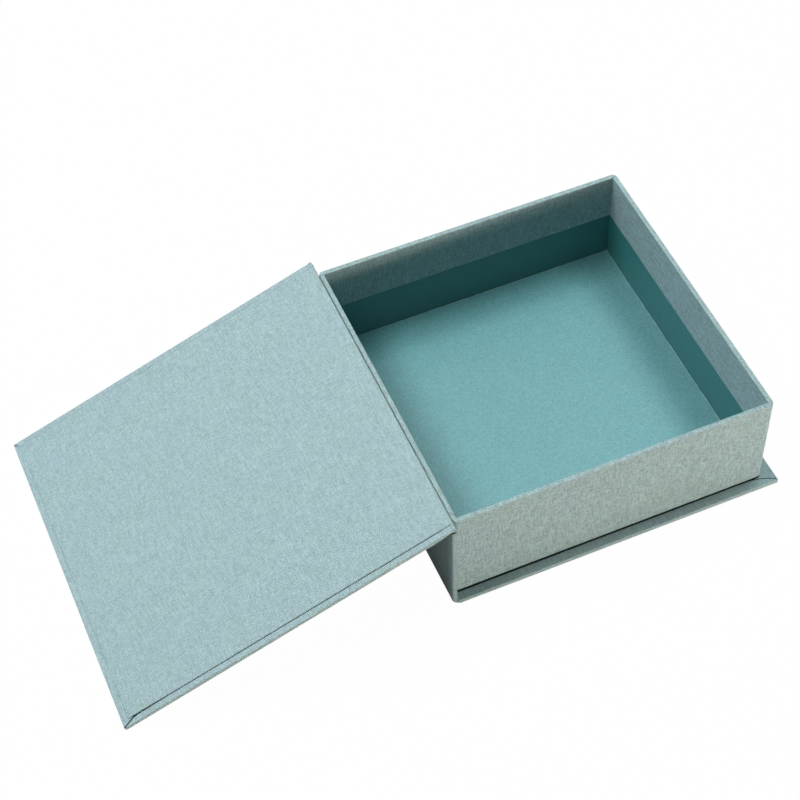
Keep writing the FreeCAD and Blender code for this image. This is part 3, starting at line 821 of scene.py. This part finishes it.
# %% Lift the corner
# All in mm: the lift, where it is highest, and how far it reaches towards the corner, along the
# front edge and in towards the middle.
LIFT = 0.55
HIGHEST_IN = 4.0
REACH_TO_CORNER, REACH_ALONG, REACH_IN = 2.5, 42.0, 5.0
up_from_lid = lid_turn @ Vector((0.0, 0.0, MM))
raised = 0
for vertex in lid_lining.data.vertices:
    flat = on_flat_lid(vertex.co)
    beyond = flat.x - fore - HIGHEST_IN
    reach = REACH_ALONG if beyond > 0 else -REACH_TO_CORNER
    beside_fore = max(0.0, 1.0 - beyond / reach)
    beside_front = max(0.0, 1.0 - (flat.y - liner_low[1]) / REACH_IN)
    lift = LIFT * beside_fore ** 1.6 * beside_front ** 2
    if lift > 0.0:
        vertex.co += up_from_lid * lift
        raised += 1
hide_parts("lid_liner")
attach(lid_lining, "lid")
print("raised", raised, "points by up to", LIFT, "mm")

# %% [markdown]
# ## Open mitres
#
# Where two turn-ins meet, the binder cuts the cloth from the corner of the board inwards, and the
# cut never quite closes. Shade makes it nearly black, and that shade is painted here as nearly
# black strips. The cuts at the two front corners run flatter than the usual 45 degrees and are
# widest a little way in, where the cloth has sprung back. The covers come with a straight 45
# degree slit, so a patch of cloth closes that one, and a thin strip of painted shade lies where
# the real cut runs. The rear cuts are straight and fine. Every strip is a run of points with a
# width, so the points of a cut can be given one by one.


# %% Painted shade in the slits
def painted_gap_shade():
    """Painted shade for cuts and gaps: nearly black, matt, a little uneven."""
    finish, tree, coordinates = new_finish("painted_gap_shade")
    tone = dyed(tree, noise(tree, coordinates["Object"], 900.0, 2.0),
                (0.006, 0.011, 0.012, 1.0), (0.035, 0.055, 0.060, 1.0))
    use_as_surface(tree, principled(tree, tone, 0.8, Specular_IOR_Level=0.1))
    return finish


def on_case(x, y, z):
    """A point of the case, given in mm."""
    return Vector((x * MM, y * MM, z * MM))


def strips(name, runs, finish, thick=0.03, place=on_case):
    """Thin closed strips. A run is points of (x, y, z, width) in mm, laid flat on their Z."""
    work = bmesh.new()
    for run in runs:
        rings = []
        for k, (x, y, z, width) in enumerate(run):
            ahead = Vector(run[min(k + 1, len(run) - 1)][:2]) - Vector(run[max(k - 1, 0)][:2])
            side = Vector((-ahead.y, ahead.x)).normalized() * width / 2
            rings.append([work.verts.new(place(x + s * side.x, y + s * side.y, z + h))
                          for s, h in ((1, 0), (1, -thick), (-1, -thick), (-1, 0))])
        for ring, following in zip(rings, rings[1:]):
            for k in range(4):
                n = (k + 1) % 4
                work.faces.new([ring[k], ring[n], following[n], following[k]])
        work.faces.new(rings[0])
        work.faces.new(list(reversed(rings[-1])))
    bmesh.ops.recalc_face_normals(work, faces=work.faces)
    mesh = bpy.data.meshes.new(name)
    work.to_mesh(mesh)
    work.free()
    mesh.materials.append(finish)
    piece = bpy.data.objects.new(name, mesh)
    scene.collection.objects.link(piece)
    print(name, len(mesh.polygons), "faces")
    return piece


# In mm: how far painted shade strips and patches stand above the cloth, and a patch's size.
SHADE_PROUD, PATCH_PROUD = 0.012, 0.003
PATCH_WIDE, PATCH_THICK = 0.8, 0.25
shade_finish = painted_gap_shade()
print("finish made:", shade_finish.name)

# %% Slits of the lid
corner_x, corner_y, skin = lid_low[0], lid_low[1], FACE + SHADE_PROUD
cut = ((0.12, 0.12, 0.45), (0.9, 0.5, 0.75), (4.2, 2.0, 0.90), (8.0, 3.6, 0.95), (12.0, 3.9, 0.75))
front_slit = [(corner_x + dx, corner_y + dy, skin, width) for dx, dy, width in cut]
# From the cut on, the strip paints the shade of the gap under the liner's lifted front edge.
front_slit += [(corner_x + 12.0 + 4.0 * k, corner_y + 3.92, skin, 0.75 - 0.045 * k)
               for k in range(1, 8)]
front_slit += [(x, corner_y + 3.90, skin, 0.42) for x in (-150.0, -100.0, -50.0, -8.0)]
front_slit += [(-4.0, corner_y + 3.95, skin, 0.10)]
back_slit = [(corner_x + 0.35, -corner_y - 0.35, skin, 0.32),
             (fore - 0.1, liner_high[1] + 0.1, skin, 0.2)]
# Painted shade: nearly black strips in the lid's cuts and along the liner's front edge.
lid_slits = strips("lid_mitre_painted_shade", [front_slit, back_slit], shade_finish, place=on_lid)
# The turn-in of the front side is folded in at the hinge end, and the shade of the fold is
# painted as a thin nearly black wedge.
under = lid_low[2]
fold = [(x, under + up, SHADE_PROUD, width) for x, up, width in
        ((-12.0, 0.15, 0.2), (-7.0, 0.42, 0.75), (-3.0, 0.68, 1.25), (-0.2, 0.78, 1.45))]
fold_shade = strips("lid_fold_painted_shade", [fold], shade_finish,
                    place=lambda x, up, out: on_lid(x, corner_y - out, up))
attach(fold_shade, "lid")
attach(lid_slits, "lid")
closing = [(corner_x + 0.55, corner_y + 0.55, FACE + PATCH_PROUD, PATCH_WIDE),
           (fore + 0.6, liner_low[1] + 0.6, FACE + PATCH_PROUD, PATCH_WIDE)]
lid_patch = strips("lid_mitre_closed", [closing], cloth_sloped, thick=PATCH_THICK, place=on_lid)
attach(lid_patch, "lid")

# %% Slits of the base
base_top = base_high[2] / MM
out_x, out_y = base_high[0] / MM, base_high[1] / MM
skin = base_top + SHADE_PROUD
cut = ((0.3, 0.35, 0.35), (1.1, 1.5, 0.60), (4.8, 3.3, 0.60), (9.6, 5.0, 0.50), (15.0, 6.2, 0.45),
       (20.0, 6.9, 0.30))
front_slit = [(out_x - dx, -out_y + dy, skin, width) for dx, dy, width in cut]
back_slit = [(out_x - d, out_y - d, skin, width) for d, width in ((0.35, 0.35), (8.5, 0.22))]
# Painted shade: nearly black strips in the base's cuts.
base_slits = strips("base_mitre_painted_shade", [front_slit, back_slit], shade_finish)
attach(base_slits, "case")
closing = [(out_x - d, -out_y + d, base_top + PATCH_PROUD, PATCH_WIDE) for d in (0.6, 11.0)]
base_patch = strips("base_mitre_closed", [closing], cloth_square, thick=PATCH_THICK)
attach(base_patch, "case")

# %% [markdown]
# ## Under the tray and on its rim
#
# The tray stands on a smaller card, so its foot is a little above the base, and shade fills the
# gap as a dark line. That shade is painted as a nearly black strip on the base under the foot;
# along the front it reaches further out, most at the spine's end. On the rim the covers of two
# walls lap over each other, and the shade at the cut ends is painted as short nearly black
# strips, at each corner in its own way.

# %% Painted shadow under the tray
# In mm: how far a strip goes in under the tray's foot, and out in front of it.
UNDER = 1.2
PROUD = 0.2
left, right = tray_low[0] / MM, tray_high[0] / MM
front, rear = tray_low[1] / MM, tray_high[1] / MM
along_front = [(left + 0.4, 0.70), (left + 40, 0.62), (left + 100, 0.50), (left + 150, 0.40),
               (right - 3.0, 0.30), (right - 1.0, 0.05)]
front_run = [(x, front + (UNDER - proud) / 2 + (0.35 if x > right - 2 else 0.0), skin,
              UNDER + proud) for x, proud in along_front]
fore_run = [(right - (UNDER - PROUD) / 2, y, skin, UNDER + PROUD)
            for y in (front + 2.6, front + 60, rear - 60, rear - 2.6)]
rear_run = [(x, rear - (UNDER - PROUD) / 2, skin, UNDER + PROUD)
            for x in (left + 1, 0, right - 2.6)]
# Painted shadow: a nearly black strip on the base along the tray's foot.
painted_foot_shadow = strips("painted_foot_shadow", [front_run, fore_run, rear_run], shade_finish)
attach(painted_foot_shadow, "case")

# %% Laps of the rim
rim_skin = tray_high[2] / MM + 0.010
spine_front = [(left + 0.3, front + 5.8, 0.32), (left + 1.6, front + 6.1, 0.22),
               (left + 2.7, front + 6.1, 0.30)]
spine_front_turn = [(left + 2.75, front + 6.1, 0.26), (left + 2.85, front + 4.4, 0.14)]
fore_front = [(right - 1.3, front + 3.0, 0.14), (right - 0.35, front + 3.25, 0.40)]
fore_rear = [(right - 2.8, rear - 2.9, 0.30), (right - 1.9, rear - 2.5, 0.12)]
spine_rear = [(left + 0.4, rear - 3.2, 0.26), (left + 2.6, rear - 3.0, 0.16)]
ticks = [[(x, y, rim_skin, width) for x, y, width in tick]
         for tick in (spine_front, spine_front_turn, fore_front, fore_rear, spine_rear)]
# Painted shade: short nearly black strips at the cut ends of the laps.
rim_laps = strips("rim_lap_painted_shade", ticks, shade_finish)
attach(rim_laps, "case")

# %% [markdown]
# ## The spine's cover
#
# The spine board is soft at its edges, so the cloth goes round its two ends in a fuller curve than
# round the other boards. A bevel would stop where it meets the short edges of the round foot. So
# the cover is built as rings across the box: each is the outline seen from the front, round the
# foot, up the outside, over the top and down the inside. Towards the two ends each ring is drawn
# in a little more on its outer side, which makes the round.

# %% Spine cover
# The rounds of the foot, the top edge and the ends, and how far in the base's cover takes over.
FOOT = 7.0
TOP_ROUND = 0.65
END_ROUND = 1.0
BASE_FROM = 5.0
out_x, in_x = spine_low[0] / MM, spine_liner_low[0] / MM
top = spine_top / MM
half = spine_high[1] / MM


def spine_outline(inset):
    """The outline of the cover with its outer side drawn in by inset, as points of (x, z)."""
    bend = FOOT - inset
    start = math.asin((FOOT - BASE_FROM) / bend)
    outline = [(out_x + BASE_FROM, inset + 0.02)]
    for k in range(11):
        a = start + (math.pi / 2 - start) * k / 10
        outline.append((out_x + FOOT - bend * math.sin(a), FOOT - bend * math.cos(a)))
    for a in (math.radians(degrees) for degrees in range(0, 91, 9)):
        outline.append((out_x + inset + TOP_ROUND * (1 - math.cos(a)),
                        top - TOP_ROUND * (1 - math.sin(a))))
    return outline + [(in_x, top), (in_x, base_top), (out_x + BASE_FROM, base_top)]


turns = [math.radians(a) for a in range(90, -1, -10)]
rings = [(half - END_ROUND + END_ROUND * math.sin(a), END_ROUND * (1 - math.cos(a)))
         for a in turns]
rings = [(-y, inset) for y, inset in rings] + [(y, inset) for y, inset in reversed(rings)]
work = bmesh.new()
loops = [[work.verts.new((x * MM, y * MM, z * MM)) for x, z in spine_outline(inset)]
         for y, inset in rings]
for one, two in zip(loops, loops[1:]):
    for k in range(len(one)):
        n = (k + 1) % len(one)
        work.faces.new([one[k], one[n], two[n], two[k]])
work.faces.new(loops[0])
work.faces.new(loops[-1])
bmesh.ops.recalc_face_normals(work, faces=work.faces)
for face in work.faces:
    face.smooth = True
mesh = bpy.data.meshes.new("spine_cover")
work.to_mesh(mesh)
work.free()
mesh.materials.append(cloth_spine)
mesh.set_sharp_from_angle(angle=math.radians(40.0))
spine_cover = bpy.data.objects.new("spine_cover", mesh)
scene.collection.objects.link(spine_cover)
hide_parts("spine_cloth")
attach(spine_cover, "case")
print("spine cover:", len(mesh.polygons), "faces")
